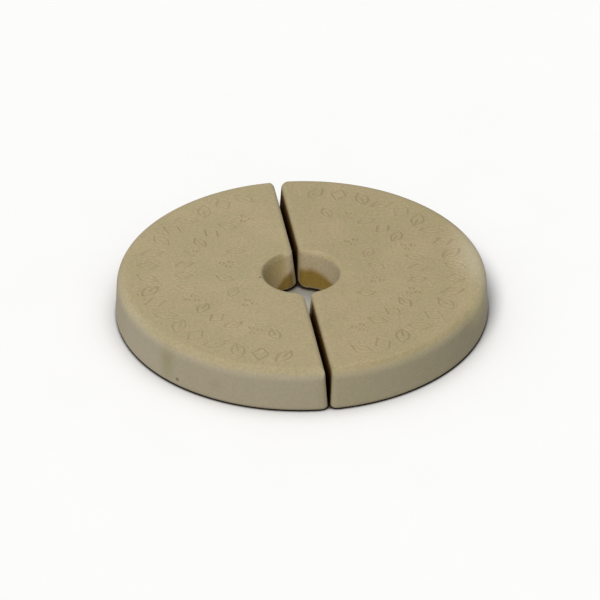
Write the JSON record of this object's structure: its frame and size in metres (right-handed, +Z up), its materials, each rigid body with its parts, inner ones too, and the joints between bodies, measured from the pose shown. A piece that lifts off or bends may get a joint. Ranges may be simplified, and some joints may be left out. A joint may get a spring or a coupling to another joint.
{
  "type": "crock weight pair",
  "caption": "Thick round weight of unglazed stoneware, split across the middle into matching half-rings around a finger hole, for holding food under brine in a crock.",
  "frame": {"origin": "middle of the foot, on the split between the halves and level with the surface the weight lies on", "axes": "+Z up through the thickness; the split runs along Y; +X leads into the right half"},
  "size_m": [0.2218, 0.2214, 0.026],
  "materials": {
    "bisque_stoneware": "matte"
  },
  "bodies": {
    "left_half": {"left_half_weight": "bisque_stoneware"},
    "right_half": {"right_half_weight": "bisque_stoneware"}
  },
  "joints": [
    {"name": "lift_off", "type": "slide", "parent": "left_half", "child": "right_half", "axis": [0, 0, 1], "range_m": [0, 0.15]}
  ]
}
